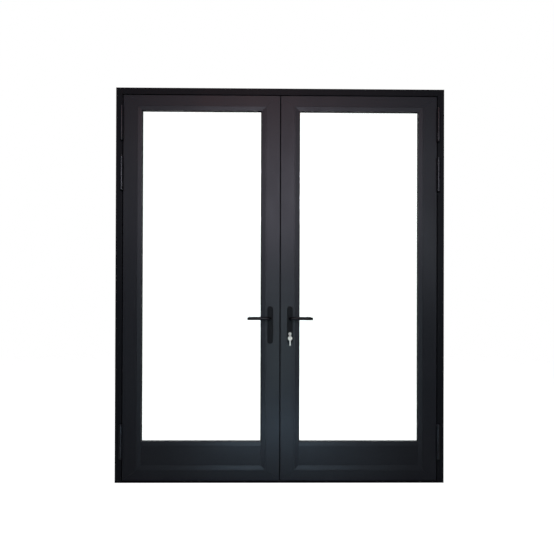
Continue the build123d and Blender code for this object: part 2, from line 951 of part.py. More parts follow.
def closed_case(bottom, forend):
    """A closed case with its forend, a hole for the spindle's hub and channels for the bolts."""
    top = handle_height + case_top
    low = handle_height - bottom
    depth = case_back - wall
    with BuildPart() as case:
        with Locations((leaf_inner + wall + depth / 2, 0, (top + low) / 2)):
            Box(depth, case_thickness, top - low)
        with Locations((leaf_inner + wall / 2, 0, sum(forend) / 2)):
            Box(wall, forend_width, forend[1] - forend[0])
        with Locations((handle_x, 0, handle_height)):
            Cylinder(
                hub_radius + running_fit,
                2 * case_thickness,
                rotation=(90, 0, 0),
                mode=Mode.SUBTRACT,
            )
        with Locations((bolt_x, 0, top), (bolt_x, 0, low)):
            Cylinder(
                bolt_radius + running_fit,
                2 * (bolt_hold + joint_gap),
                mode=Mode.SUBTRACT,
            )
    return case


def make_cases():
    save_left(closed_case(gear_case_bottom, gear_forend), "gear_case")

    with BuildPart() as lock_case:
        add(closed_case(lock_case_bottom, lock_forend).part)
        extrude(
            euro_outline(joint_gap, Plane.XZ), amount=through, both=True, mode=Mode.SUBTRACT
        )
        with Locations((leaf_inner, 0, cylinder_z)):
            Box(
                2 * (deadbolt_set_back + deadbolt_length + deadbolt_play),
                deadbolt_thickness + 2 * deadbolt_play,
                deadbolt_height + 2 * deadbolt_play,
                mode=Mode.SUBTRACT,
            )
    save(lock_case, "right_lock_case")


def bolt(low, high):
    with BuildPart() as rod:
        with Locations((bolt_x, 0, low)):
            Cylinder(bolt_radius, high - low, align=standing)
        chamfer(rod.edges().filter_by(GeomType.CIRCLE), length=bolt_chamfer)
    return rod


def make_bolts():
    """Round bolts from each case through the ends of the leaf, drawn back."""
    top_end = leaf_top - top_bolt_set_back
    bottom_end = leaf_bottom + bottom_bolt_set_back
    top_low = handle_height + case_top - bolt_hold
    gear_high = handle_height - gear_case_bottom + bolt_hold
    lock_high = handle_height - lock_case_bottom + bolt_hold
    save_pair(bolt(top_low, top_end), "top_bolt")
    save_left(bolt(bottom_end, gear_high), "bottom_bolt")
    save(bolt(bottom_end, lock_high), "right_bottom_bolt")


def make_deadbolt():
    with BuildPart() as deadbolt:
        with Locations((leaf_inner + deadbolt_set_back, 0, cylinder_z)):
            Box(
                deadbolt_length,
                deadbolt_thickness,
                deadbolt_height,
                align=(Align.MIN, Align.CENTER, Align.CENTER),
            )
        chamfer(deadbolt.faces().sort_by(Axis.X)[0].edges(), length=1)
    save(deadbolt, "right_deadbolt")

    play = 2 * deadbolt_play
    with BuildPart() as keep:
        with Locations((leaf_inner + wall / 2, 0, cylinder_z)):
            Box(wall, forend_width, keep_forend[1] - keep_forend[0])
        with Locations((leaf_inner, 0, cylinder_z)):
            Box(
                deadbolt_keep_depth + deadbolt_keep_wall,
                deadbolt_thickness + 2 * (play + deadbolt_keep_wall),
                deadbolt_height + 2 * (play + deadbolt_keep_wall),
                align=(Align.MIN, Align.CENTER, Align.CENTER),
            )
            Box(
                2 * deadbolt_keep_depth,
                deadbolt_thickness + 2 * play,
                deadbolt_height + 2 * play,
                mode=Mode.SUBTRACT,
            )
    save_left(keep, "deadbolt_keep")


cylinder_front = plate_face - cylinder_stand_out
key_middle = cylinder_front - bow_stand_off - bow_radius
key_hole_y = key_middle - bow_radius + key_hole_edge + key_hole_radius
ring_top_z = cylinder_z - key_hole_radius + ring_wire + ring_seat_gap
ring_middle_z = ring_top_z - ring_radius
spare_hole_z = ring_middle_z - ring_radius - spare_drop
spare_middle_z = spare_hole_z + key_hole_radius + key_hole_edge - bow_radius


def make_cylinder():
    """The fixed body of the lock's cylinder, and the plug that turns in its outer end."""
    with BuildPart() as cylinder:
        extrude(euro_outline(0, Plane.XZ), amount=-cylinder_front, both=True)
        with Locations((handle_x, 0, cylinder_z)):
            Cylinder(
                plug_radius + running_fit,
                through,
                rotation=(90, 0, 0),
                mode=Mode.SUBTRACT,
            )
    save(cylinder, "right_cylinder")

    with BuildPart() as plug:
        with Locations((handle_x, 0, cylinder_z)):
            Cylinder(plug_radius, -2 * cylinder_front, rotation=(90, 0, 0))
        with Locations((handle_x, cylinder_front, cylinder_z)):
            Box(
                key_thickness + 2 * keyway_play,
                2 * (blade_length + keyway_play),
                blade_width + 2 * keyway_play,
                mode=Mode.SUBTRACT,
            )
    save(plug, "right_cylinder_plug")


def key_shape(plane):
    """A flat key on a plane, with its bow at the plane's origin and its blade along +X."""
    tip = bow_radius + bow_stand_off + blade_length
    with BuildPart() as key:
        with BuildSketch(plane):
            Circle(bow_radius)
            Rectangle(tip, blade_width, align=(Align.MIN, Align.CENTER))
            with Locations((key_hole_edge + key_hole_radius - bow_radius, 0)):
                Circle(key_hole_radius, mode=Mode.SUBTRACT)
            for step in range(bit_count):
                with Locations((tip - (step + 1) * bit_spacing, -blade_width / 2)):
                    Circle(bit_radius, mode=Mode.SUBTRACT)
        extrude(amount=key_thickness / 2, both=True)
    return key


def make_keys():
    """The key in the cylinder, edge-on from in front, and a ring with a second key like it."""
    in_lock = Plane(
        origin=(handle_x, key_middle, cylinder_z), x_dir=(0, 1, 0), z_dir=(1, 0, 0)
    )
    save(key_shape(in_lock), "key")

    turn = radians(ring_turn)
    with BuildPart() as split_ring:
        in_hole = Plane(
            origin=(handle_x, key_hole_y, ring_top_z),
            x_dir=(0, 0, 1),
            z_dir=(cos(turn), -sin(turn), 0),
        )
        with BuildSketch(in_hole):
            Circle(ring_wire)
        ring_axis = Axis((handle_x, key_hole_y, ring_middle_z), (sin(turn), cos(turn), 0))
        revolve(axis=ring_axis)
    save(split_ring, "key_ring")

    below_ring = Plane(
        origin=(handle_x, key_hole_y, spare_middle_z), x_dir=(0, 0, -1), z_dir=(0, -1, 0)
    )
    save(key_shape(below_ring), "spare_key")


os.makedirs("parts", exist_ok=True)
make_head()
make_jambs()
make_threshold()
make_frame_seals()
make_frame_cleats()
make_bolt_keeps()
make_leaf_frames()
make_kick_panel()
make_beads()
make_glass_unit()
make_leaf_cleats()
make_meeting_seals()
make_hinges()
make_handles()
make_cases()
make_bolts()
make_deadbolt()
make_cylinder()
make_keys()
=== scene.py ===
import json
from math import radians, sqrt

import bmesh
import bpy
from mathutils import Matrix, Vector


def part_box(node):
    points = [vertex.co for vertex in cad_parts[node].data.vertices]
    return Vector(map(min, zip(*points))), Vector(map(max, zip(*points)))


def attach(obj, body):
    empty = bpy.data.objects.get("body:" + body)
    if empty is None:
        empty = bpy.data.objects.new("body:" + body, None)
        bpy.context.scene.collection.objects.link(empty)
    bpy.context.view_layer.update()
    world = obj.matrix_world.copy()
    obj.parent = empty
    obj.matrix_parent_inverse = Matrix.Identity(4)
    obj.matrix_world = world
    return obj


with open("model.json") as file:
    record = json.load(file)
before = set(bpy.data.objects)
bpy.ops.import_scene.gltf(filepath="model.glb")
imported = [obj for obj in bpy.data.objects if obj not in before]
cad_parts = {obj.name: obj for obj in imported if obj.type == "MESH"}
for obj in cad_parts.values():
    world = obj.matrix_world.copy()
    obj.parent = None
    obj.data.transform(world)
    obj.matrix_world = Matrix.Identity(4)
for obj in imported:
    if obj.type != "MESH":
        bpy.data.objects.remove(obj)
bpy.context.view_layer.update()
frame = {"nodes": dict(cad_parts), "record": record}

# The pair of doors is dressed here: a finish for every piece of the frame, and the small
# screws and the soft lips of the seals that the solids leave out. Lengths are in metres.

# Camera, which stands in front of the doors, a little above the handles
CAMERA_PLACE = (-0.0495, -3.087, 1.1)
CAMERA_TURN = (90.22, -0.168, -0.571)
CAMERA_LENS = 32.65
CAMERA_SENSOR = 36.0
CAMERA_SHIFT = 0.0413  # upwards, as the photograph is framed

# Floor
FLOOR_RADIUS = 9.0
FLOOR_SIDES = 96
FLOOR_FADE = (0.35, 0.95)  # shares of the radius between which the floor melts into the white

JOIN_DISTANCE = 0.000002  # between corners that are one

# Screws
SCREW_SIDES = 28
SCREW_LIFT = 0.0001  # how far a countersunk head stands out
PLATE_SCREW = 0.0045  # radius of the head, in the inner handle plates
HINGE_SCREW = 0.0042
FOREND_SCREW = 0.0036
HEAD_DEPTH = 0.42  # of a head and its recess, as shares of the head's radius
HEAD_ROOT = 0.55
RECESS_WIDTH = 0.26
RECESS_DEPTH = 0.3
RECESS_LENGTH = 1.15
# heights of the two bars that cut the recess, in recess depths; their bottoms lie a hair
# apart, because the cut fails on faces in one plane
RECESS_BARS = (2.0, 1.94)
FOREND_SCREW_INSET = 0.006
HINGE_SCREW_COUNT = 4  # in each plate
HINGE_SCREW_SPACING = 0.052
HINGE_SCREW_LINES = (0.72, 0.35)  # shares of the plate's depth, taken in turn
HINGE_GAP = 0.005  # between a leaf and its jamb, with the two plates of a hinge in it
HINGE_PLATE_GAP = 0.0002  # from the middle of that gap to the face of a plate
HINGE_APART = 0.09  # a gap in height that only lies between two hinges

# Flap behind the fins of the meeting edges, which starts a little inside its own fin
FLAP_INSET = 0.0002
FLAP_THICKNESS = 0.0009
FLAP_CLEARANCE = 0.0002  # behind the other leaf's fin
FLAP_OVERLAP = 0.00035

# Lips of the glazing gaskets
LIP_REACH = 0.006  # over the glass, from the hidden part of the gasket
LIP_ROOT = 0.0034
LIP_TIP = 0.0012
LIP_LAID = 0.00004  # the least gap to the glass and to that hidden part

# Surfaces
COAT_BUMP = (0.0002, 0.16)  # depth in metres, and strength
SOFT_BUMP = (0.0001, 0.3)
LINE_BUMP_STRENGTH = 0.4
COAT_DUST = 0.06  # share of the coat that dust hides where it lies thickest
GLASS_IOR = 1.5

# Light
WORLD_LIGHT = 0.05  # brightness of the surroundings in light and reflections
WORLD_TINT = (0.5, 0.65, 1.0)
WORLD_SEEN = 1.0  # as looked at
WORLD_SEEN_THROUGH_GLASS = 1.3
FLOOR_TONE = 0.25  # of the floor as it lights the doors
FLOOR_SEEN = (1.0, 1.0, 1.0)  # added where the floor is looked at
FLOOR_SEEN_THROUGH_GLASS = (1.3, 1.3, 1.3)
FLOOR_REFLECTION = (0.0, 0.0, 0.0)


# Node helpers


def new_group(name, inputs, outputs):
    """An empty shader node group with named inputs (name, value) and outputs (name, kind)."""
    group = bpy.data.node_groups.new(name, "ShaderNodeTree")
    for label, value in inputs:
        kind = "NodeSocketVector" if value is None else "NodeSocketFloat"
        socket = group.interface.new_socket(label, in_out="INPUT", socket_type=kind)
        if value is not None:
            socket.default_value = value
    for label, kind in outputs:
        group.interface.new_socket(label, in_out="OUTPUT", socket_type=kind)
    return group, group.nodes.new("NodeGroupInput"), group.nodes.new("NodeGroupOutput")


def add_node(tree, kind, links=(), **values):
    """A node with its values set by socket name, or by attribute, and its inputs linked."""
    node = tree.nodes.new(kind)
    for key, value in values.items():
        label = key.replace("_", " ")
        if label in node.inputs:
            node.inputs[label].default_value = value
        else:
            setattr(node, key, value)
    for socket, source in links:
        tree.links.new(source, node.inputs[socket])
    return node


def calculate(tree, operation, first, second):
    """What an operation makes of a socket's value and another socket's, or a plain number."""
    node = add_node(tree, "ShaderNodeMath", links=[(0, first)], operation=operation)
    if isinstance(second, float):
        node.inputs[1].default_value = second
    else:
        tree.links.new(second, node.inputs[1])
    return node.outputs[0]


def blend_range(tree, source, low, high, start=0.0, end=1.0):
    """A value that runs from start to end as the source runs from low to high."""
    return add_node(
        tree,
        "ShaderNodeMapRange",
        links=[("Value", source)],
        From_Min=low,
        From_Max=high,
        To_Min=start,
        To_Max=end,
    ).outputs["Result"]


# Effects that several finishes share


def make_coat_grain():
    """The fine orange peel of sprayed and baked powder, with a slow waviness under it."""
    group, given, out = new_group(
        "coat_grain",
        [("Position", None), ("Peel Scale", 620.0), ("Wave Scale", 28.0), ("Wave Share", 0.5)],
        [("Height", "NodeSocketFloat"), ("Speckle", "NodeSocketFloat")],
    )
    links = group.links
    peel = add_node(group, "ShaderNodeTexNoise", Detail=3.0, Roughness=0.55)
    wave = add_node(group, "ShaderNodeTexNoise", Detail=2.0, Roughness=0.4)
    for node, scale in ((peel, "Peel Scale"), (wave, "Wave Scale")):
        links.new(given.outputs["Position"], node.inputs["Vector"])
        links.new(given.outputs[scale], node.inputs["Scale"])
    waves = calculate(group, "MULTIPLY", wave.outputs["Fac"], given.outputs["Wave Share"])
    height = calculate(group, "ADD", peel.outputs["Fac"], waves)
    links.new(height, out.inputs["Height"])
    links.new(blend_range(group, peel.outputs["Fac"], 0.35, 0.7), out.inputs["Speckle"])
    return group


def make_soiling():
    """Where hands, rain and dust have dulled a surface: soft smears, and dust that falls down."""
    group, given, out = new_group(
        "soiling",
        [("Position", None), ("Smear Scale", 3.0), ("Dust Height", 0.5)],
        [("Smear", "NodeSocketFloat"), ("Dust", "NodeSocketFloat")],
    )
    links = group.links
    stretched = add_node(
        group,
        "ShaderNodeMapping",
        links=[("Vector", given.outputs["Position"])],
        Scale=(1.0, 1.0, 0.35),
    )
    smear = add_node(
        group,
        "ShaderNodeTexNoise",
        links=[("Vector", stretched.outputs[0]), ("Scale", given.outputs["Smear Scale"])],
        Detail=5.0,
        Roughness=0.62,
    )
    links.new(blend_range(group, smear.outputs["Fac"], 0.38, 0.68), out.inputs["Smear"])

    place = add_node(
        group, "ShaderNodeSeparateXYZ", links=[("Vector", given.outputs["Position"])]
    )
    low = add_node(
        group,
        "ShaderNodeMapRange",
        links=[("Value", place.outputs["Z"]), ("From Max", given.outputs["Dust Height"])],
        From_Min=0.0,
        To_Min=1.0,
        To_Max=0.0,
    )
    normal = add_node(group, "ShaderNodeNewGeometry")
    facing = add_node(
        group, "ShaderNodeSeparateXYZ", links=[("Vector", normal.outputs["Normal"])]
    )
    upward = blend_range(group, facing.outputs["Z"], 0.2, 1.0)
    both = calculate(group, "MAXIMUM", low.outputs["Result"], upward)
    fine = add_node(
        group,
        "ShaderNodeTexNoise",
        links=[("Vector", given.outputs["Position"])],
        Scale=190.0,
        Detail=4.0,
        Roughness=0.7,
    )
    grains = blend_range(group, fine.outputs["Fac"], 0.42, 0.72)
    links.new(calculate(group, "MULTIPLY", both, grains), out.inputs["Dust"])
    return group


def make_drawn_lines():
    """Fine lines along one axis, as drawing, rolling or brushing leaves on metal."""
    group, given, out = new_group(
        "drawn_lines",
        [("Position", None), ("Across", 1400.0), ("Along", 12.0)],
        [("Lines", "NodeSocketFloat")],
    )
    across, along = given.outputs["Across"], given.outputs["Along"]
    scale = add_node(group, "ShaderNodeCombineXYZ", [("X", across), ("Y", across), ("Z", along)])
    stretched = add_node(
        group,
        "ShaderNodeVectorMath",
        links=[(0, given.outputs["Position"]), (1, scale.outputs[0])],
        operation="MULTIPLY",
    )
    lines = add_node(
        group,
        "ShaderNodeTexNoise",
        links=[("Vector", stretched.outputs[0])],
        Scale=1.0,
        Detail=3.0,
        Roughness=0.6,
    )
    group.links.new(lines.outputs["Fac"], out.inputs["Lines"])
    return group


COAT_GRAIN = make_coat_grain()
SOILING = make_soiling()
DRAWN_LINES = make_drawn_lines()


# Finishes


def new_material(name):
    """A material with its shader and the place on the piece, which every pattern reads."""
    material = bpy.data.materials.new(name)
    material.use_nodes = True
    tree = material.node_tree
    shader = tree.nodes["Principled BSDF"]
    place = add_node(tree, "ShaderNodeTexCoord").outputs["Object"]
    return material, tree, shader, place


def use_group(tree, group, place, **values):
    """A shared effect in a material, read at a place, with its own values by socket name."""
    node = add_node(tree, "ShaderNodeGroup", node_tree=group)
    tree.links.new(place, node.inputs["Position"])
    for key, value in values.items():
        node.inputs[key.replace("_", " ")].default_value = value
    return node


def mix_colours(tree, share, first, second):
    """A colour between two, by a share that changes over the surface."""
    node = add_node(tree, "ShaderNodeMix", data_type="RGBA")
    tree.links.new(share, node.inputs["Factor"])
    for label, colour in (("A", first), ("B", second)):
        socket = [s for s in node.inputs if s.name == label and s.type == "RGBA"][0]
        if isinstance(colour, tuple):
            socket.default_value = (*colour, 1.0)
        else:
            tree.links.new(colour, socket)
    return [s for s in node.outputs if s.type == "RGBA"][0]


def add_bump(tree, shader, height, depth, strength):
    """A bump of some depth in metres from a height that changes over the surface."""
    bump = add_node(
        tree, "ShaderNodeBump", links=[("Height", height)], Distance=depth, Strength=strength
    )
    tree.links.new(bump.outputs["Normal"], shader.inputs["Normal"])


def coated_metal(name, colour, worn_colour, dust_colour, gloss, rough, specular, dust_height):
    """Black coating: a dark ground, speckled by its peel, with smears and a little dust."""
    material, tree, shader, place = new_material(name)
    grain = use_group(tree, COAT_GRAIN, place)
    soil = use_group(tree, SOILING, place, Dust_Height=dust_height)
    ground = mix_colours(tree, grain.outputs["Speckle"], colour, worn_colour)
    thin = blend_range(tree, soil.outputs["Dust"], 0.0, 1.0, 0.0, COAT_DUST)
    dusty = mix_colours(tree, thin, ground, dust_colour)
    tree.links.new(dusty, shader.inputs["Base Color"])
    dull = blend_range(tree, soil.outputs["Smear"], 0.0, 1.0, gloss, rough)
    tree.links.new(dull, shader.inputs["Roughness"])
    shader.inputs["Specular IOR Level"].default_value = specular
    add_bump(tree, shader, grain.outputs["Height"], *COAT_BUMP)
    return material


def bare_metal(name, colour, dark_colour, gloss, rough, line_depth):
    """Plated or plain metal with fine drawn lines and a mottled tone."""
    material, tree, shader, place = new_material(name)
    lines = use_group(tree, DRAWN_LINES, place)
    soil = use_group(tree, SOILING, place, Smear_Scale=60.0, Dust_Height=0.05)
    tone = mix_colours(tree, soil.outputs["Smear"], colour, dark_colour)
    tree.links.new(tone, shader.inputs["Base Color"])
    dull = blend_range(tree, lines.outputs["Lines"], 0.3, 0.7, gloss, rough)
    tree.links.new(dull, shader.inputs["Roughness"])
    shader.inputs["Metallic"].default_value = 1.0
    add_bump(tree, shader, lines.outputs["Lines"], line_depth, LINE_BUMP_STRENGTH)
    return material


def soft_black(name, colour, pale_colour, rough_low, rough_high, specular, grain_scale):
    """Rubber or nylon: matt, a little mottled, with a faint moulded grain."""
    material, tree, shader, place = new_material(name)
    grain = use_group(tree, COAT_GRAIN, place, Peel_Scale=grain_scale, Wave_Share=0.2)
    soil = use_group(tree, SOILING, place, Smear_Scale=9.0, Dust_Height=0.25)
    tone = mix_colours(tree, soil.outputs["Smear"], colour, pale_colour)
    tree.links.new(tone, shader.inputs["Base Color"])
    dull = blend_range(tree, grain.outputs["Speckle"], 0.0, 1.0, rough_low, rough_high)
    tree.links.new(dull, shader.inputs["Roughness"])
    shader.inputs["Specular IOR Level"].default_value = specular
    add_bump(tree, shader, grain.outputs["Height"], *SOFT_BUMP)
    return material


def clear_glass():
    """Float glass, with the faintest film of dust that dulls its gloss."""
    material, tree, shader, place = new_material("clear_float_glass")
    soil = use_group(tree, SOILING, place, Smear_Scale=2.2, Dust_Height=0.1)
    film = mix_colours(tree, soil.outputs["Smear"], (0.97, 0.985, 0.98), (0.94, 0.965, 0.955))
    tree.links.new(film, shader.inputs["Base Color"])
    dull = blend_range(tree, soil.outputs["Smear"], 0.0, 1.0, 0.0, 0.012)
    tree.links.new(dull, shader.inputs["Roughness"])
    shader.inputs["IOR"].default_value = GLASS_IOR
    shader.inputs["Transmission Weight"].default_value = 1.0
    return material


FINISHES = {
    "black_powder_coat": coated_metal(
        "leaf_powder_coat",
        colour=(0.0078, 0.0083, 0.0108),
        worn_colour=(0.0116, 0.0122, 0.0154),
        dust_colour=(0.16, 0.155, 0.15),
        gloss=0.36,
        rough=0.46,
        specular=0.55,
        dust_height=0.35,
    ),
    "black_hardware": coated_metal(
        "handle_coat",
        colour=(0.0035, 0.0035, 0.004),
        worn_colour=(0.0055, 0.0055, 0.006),
        dust_colour=(0.12, 0.12, 0.12),
        gloss=0.16,
        rough=0.24,
        specular=0.28,
        dust_height=0.02,
    ),
    "black_hinge": coated_metal(
        "hinge_coat",
        colour=(0.008, 0.008, 0.009),
        worn_colour=(0.013, 0.013, 0.014),
        dust_colour=(0.14, 0.14, 0.14),
        gloss=0.22,
        rough=0.34,
        specular=0.6,
        dust_height=0.02,
    ),
    "clear_glass": clear_glass(),
    "black_rubber": soft_black(
        "seal_rubber", (0.004, 0.004, 0.0045), (0.008, 0.008, 0.008), 0.55, 0.75, 0.12, 900.0
    ),
    "black_nylon": soft_black(
        "keep_nylon", (0.012, 0.012, 0.012), (0.022, 0.022, 0.022), 0.4, 0.55, 0.4, 500.0
    ),
    "plain_aluminium": bare_metal(
        "mill_aluminium", (0.62, 0.63, 0.64), (0.5, 0.51, 0.52), 0.3, 0.46, 0.00004
    ),
    "zinc_plated_steel": bare_metal(
        "zinc_plating", (0.58, 0.6, 0.63), (0.46, 0.47, 0.5), 0.26, 0.42, 0.00003
    ),
    "nickel_plated_brass": bare_metal(
        "satin_nickel", (0.97, 0.89, 0.78), (0.86, 0.77, 0.66), 0.34, 0.48, 0.00002
    ),
}
FRAME_COAT = coated_metal(
    "frame_powder_coat",
    colour=(0.0042, 0.0044, 0.0056),
    worn_colour=(0.006, 0.0063, 0.008),
    dust_colour=(0.15, 0.145, 0.14),
    gloss=0.42,
    rough=0.52,
    specular=0.24,
    dust_height=0.3,
)
PLATE_COAT = coated_metal(
    "handle_plate_coat",
    colour=(0.0035, 0.0035, 0.004),
    worn_colour=(0.006, 0.006, 0.0065),
    dust_colour=(0.12, 0.12, 0.12),
    gloss=0.4,
    rough=0.5,
    specular=0.2,
    dust_height=0.02,
)
FRAME_MEMBERS = ("head", "left_jamb", "right_jamb", "threshold")


def dress_nodes():
    """Give every CAD node the finish that its record names, or its own coat where it has one."""
    for row in frame["record"]["subparts"]:
        name = row["node"]
        node = frame["nodes"][name]
        finish = FINISHES[row["material_slot"]]
        if name in FRAME_MEMBERS:
            finish = FRAME_COAT
        elif name.endswith("handle_plate"):
            finish = PLATE_COAT
        if not node.material_slots:
            node.data.materials.append(finish)
        for slot in node.material_slots:
            slot.material = finish
        if name.endswith("glass_panes"):
            node.visible_shadow = False


# Screws


def new_tree(name, inputs, result):
    """An empty geometry tree with named inputs (name, kind) and one named result."""
    tree = bpy.data.node_groups.new(name, "GeometryNodeTree")
    for label, kind in (*inputs, ("Finish", "Material")):
        tree.interface.new_socket(label, in_out="INPUT", socket_type="NodeSocket" + kind)
    tree.interface.new_socket(result, in_out="OUTPUT", socket_type="NodeSocketGeometry")
    return tree, tree.nodes.new("NodeGroupInput").outputs


def end_tree(tree, geometry, finish):
    """Make copies real, give the whole its finish and put it out."""
    real = add_node(tree, "GeometryNodeRealizeInstances", [("Geometry", geometry)])
    dressed = add_node(
        tree,
        "GeometryNodeSetMaterial",
        [("Geometry", real.outputs["Geometry"]), ("Material", finish)],
    )
    add_node(tree, "NodeGroupOutput", [(0, dressed.outputs["Geometry"])])


def make_screw_tree():
    """Countersunk screws with a cross recess, one on each point, turned to face outwards."""
    sizes = ("Head Radius", "Head Depth", "Recess Width", "Recess Depth")
    tree, given = new_tree(
        "countersunk_screws",
        [("Points", "Geometry"), *((label, "Float") for label in sizes)],
        "Screws",
    )
    radius, depth = given["Head Radius"], given["Head Depth"]
    root = calculate(tree, "MULTIPLY", radius, HEAD_ROOT)
    head = add_node(
        tree,
        "GeometryNodeMeshCone",
        links=[("Radius Top", radius), ("Radius Bottom", root), ("Depth", depth)],
        Vertices=SCREW_SIDES,
    )
    top = add_node(tree, "ShaderNodeCombineXYZ", [("Z", depth)]).outputs[0]
    recess = add_node(
        tree, "GeometryNodeMeshBoolean", [("Mesh 1", head.outputs["Mesh"])], operation="DIFFERENCE"
    )
    long_side = calculate(tree, "MULTIPLY", radius, RECESS_LENGTH)
    for along, across, bar in zip("XY", "YX", RECESS_BARS):
        high_side = calculate(tree, "MULTIPLY", given["Recess Depth"], bar)
        size = add_node(
            tree,
            "ShaderNodeCombineXYZ",
            [(along, long_side), (across, given["Recess Width"]), ("Z", high_side)],
        )
        slot = add_node(tree, "GeometryNodeMeshCube", [("Size", size.outputs[0])])
        raised = add_node(
            tree,
            "GeometryNodeTransform",
            [("Geometry", slot.outputs["Mesh"]), ("Translation", top)],
        )
        tree.links.new(raised.outputs["Geometry"], recess.inputs["Mesh 2"])
    down = add_node(tree, "ShaderNodeVectorMath", links=[(0, top)], operation="SCALE", Scale=-1.0)
    sunk = add_node(
        tree,
        "GeometryNodeTransform",
        [("Geometry", recess.outputs["Mesh"]), ("Translation", down.outputs[0])],
    )

    facing = add_node(
        tree, "GeometryNodeInputNamedAttribute", data_type="FLOAT_VECTOR", Name="facing"
    )
    turn = add_node(
        tree,
        "FunctionNodeAlignRotationToVector",
        links=[("Vector", facing.outputs["Attribute"])],
        axis="Z",
    )
    copies = add_node(
        tree,
        "GeometryNodeInstanceOnPoints",
        [
            ("Points", given["Points"]),
            ("Instance", sunk.outputs["Geometry"]),
            ("Rotation", turn.outputs["Rotation"]),
        ],
    )
    end_tree(tree, copies.outputs["Instances"], given["Finish"])
    return tree


def set_tree_input(modifier, label, value):
    """Set a modifier's input by the identifier of the socket that has this name."""
    for item in modifier.node_group.interface.items_tree:
        if item.item_type == "SOCKET" and item.in_out == "INPUT" and item.name == label:
            modifier[item.identifier] = value


def make_piece(name, mesh, body):
    """A finished mesh as a piece that rides on its body."""
    piece = bpy.data.objects.new(name, mesh)
    bpy.context.scene.collection.objects.link(piece)
    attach(piece, body)


def close_mesh(mesh):
    """Join the corners that lie on each other and turn every face outwards."""
    shape = bmesh.new()
    shape.from_mesh(mesh)
    bmesh.ops.remove_doubles(shape, verts=shape.verts, dist=JOIN_DISTANCE)
    bmesh.ops.recalc_face_normals(shape, faces=shape.faces)
    shape.to_mesh(mesh)
    shape.free()


def grow(name, tree, inputs, mesh):
    """The plain mesh that a tree makes of a mesh, with the tree's inputs set by their names."""
    maker = bpy.data.objects.new(name + "_maker", mesh)
    bpy.context.scene.collection.objects.link(maker)
    modifier = maker.modifiers.new(name, "NODES")
    modifier.node_group = tree
    for label, value in inputs.items():
        set_tree_input(modifier, label, value)
    bpy.context.view_layer.update()
    made = maker.evaluated_get(bpy.context.evaluated_depsgraph_get())
    solid = bpy.data.meshes.new_from_object(made)
    maker.modifiers.remove(modifier)
    bpy.data.objects.remove(maker)
    close_mesh(solid)
    return solid


def make_screws(name, body, places, radius, finish):
    """One piece with a screw at each (place, facing), which rides on its body."""
    mesh = bpy.data.meshes.new(name + "_points")
    mesh.from_pydata([place for place, _ in places], [], [])
    facing = mesh.attributes.new("facing", "FLOAT_VECTOR", "POINT")
    for item, (_, direction) in zip(facing.data, places):
        item.vector = direction
    inputs = {
        "Head Radius": radius,
        "Head Depth": HEAD_DEPTH * radius,
        "Recess Width": RECESS_WIDTH * radius,
        "Recess Depth": RECESS_DEPTH * radius,
        "Finish": finish,
    }
    make_piece(name, grow(name, SCREW_TREE, inputs, mesh), body)


def plate_screws(side):
    """Two screws in the round ends of an inner handle plate."""
    low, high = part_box(f"{side}_inner_handle_plate")
    half_width = (high.x - low.x) / 2
    middle = (low.x + high.x) / 2
    out = Vector((0, 1, 0))
    return [
        (Vector((middle, high.y + SCREW_LIFT, z)), out)
        for z in (low.z + half_width, high.z - half_width)
    ]


def hinge_middles():
    """Heights of the middles of the three hinges, read from the halves on a leaf."""
    mesh = frame["nodes"]["right_hinge_leaf_halves"].data
    heights = sorted({round(v.co.z, 4) for v in mesh.vertices})
    groups = [[heights[0]]]
    for z in heights[1:]:
        if z - groups[-1][-1] > HINGE_APART:
            groups.append([])
        groups[-1].append(z)
    return [(group[0] + group[-1]) / 2 for group in groups]


def hinge_screws(side, half):
    """Screws in a zigzag in each of the three plates on one side of the gap."""
    sign = 1 if side == "right" else -1
    out = Vector((sign if half == "leaf" else -sign, 0, 0))
    stile_low, stile_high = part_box(f"{side}_hinge_stile")
    edge = stile_high.x if side == "right" else stile_low.x
    middle_x = edge + sign * HINGE_GAP / 2
    front = stile_low.y
    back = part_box(f"{side}_hinge_leaf_halves")[1].y
    places = []
    for z in hinge_middles():
        for step in range(HINGE_SCREW_COUNT):
            share = HINGE_SCREW_LINES[step % 2]
            place = Vector((middle_x, front + share * (back - front), z))
            place.z += (step - (HINGE_SCREW_COUNT - 1) / 2) * HINGE_SCREW_SPACING
            places.append((place - out * (HINGE_PLATE_GAP - SCREW_LIFT), out))
    return places


def forend_screws(node):
    """A screw near each end of a lock's forend, on the meeting edge of its leaf."""
    low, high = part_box(node)
    outer = low.x if low.x > 0 else high.x
    out = Vector((-1 if outer > 0 else 1, 0, 0))
    return [
        (Vector((outer, 0, z)) + out * SCREW_LIFT, out)
        for z in (low.z + FOREND_SCREW_INSET, high.z - FOREND_SCREW_INSET)
    ]


SCREW_TREE = make_screw_tree()


def fit_screws():
    """The screws of the inner handle plates, the hinges and the forends."""
    black, zinc = FINISHES["black_hardware"], FINISHES["zinc_plated_steel"]
    hinge = FINISHES["black_hinge"]
    for side in ("left", "right"):
        leaf = f"{side}_leaf"
        make_screws(
            f"{side}_plate_screws", leaf, plate_screws(side), PLATE_SCREW, black
        )
        make_screws(
            f"{side}_leaf_hinge_screws",
            leaf,
            hinge_screws(side, "leaf"),
            HINGE_SCREW,
            hinge,
        )
    jamb_places = hinge_screws("left", "frame") + hinge_screws("right", "frame")
    make_screws("jamb_hinge_screws", "frame", jamb_places, HINGE_SCREW, hinge)
    left_places = forend_screws("left_gear_case") + forend_screws("left_deadbolt_keep")
    for name, leaf, places in (
        ("left_forend_screws", "left_leaf", left_places),
        ("right_forend_screws", "right_leaf", forend_screws("right_lock_case")),
    ):
        make_screws(name, leaf, places, FOREND_SCREW, zinc)


# Seals


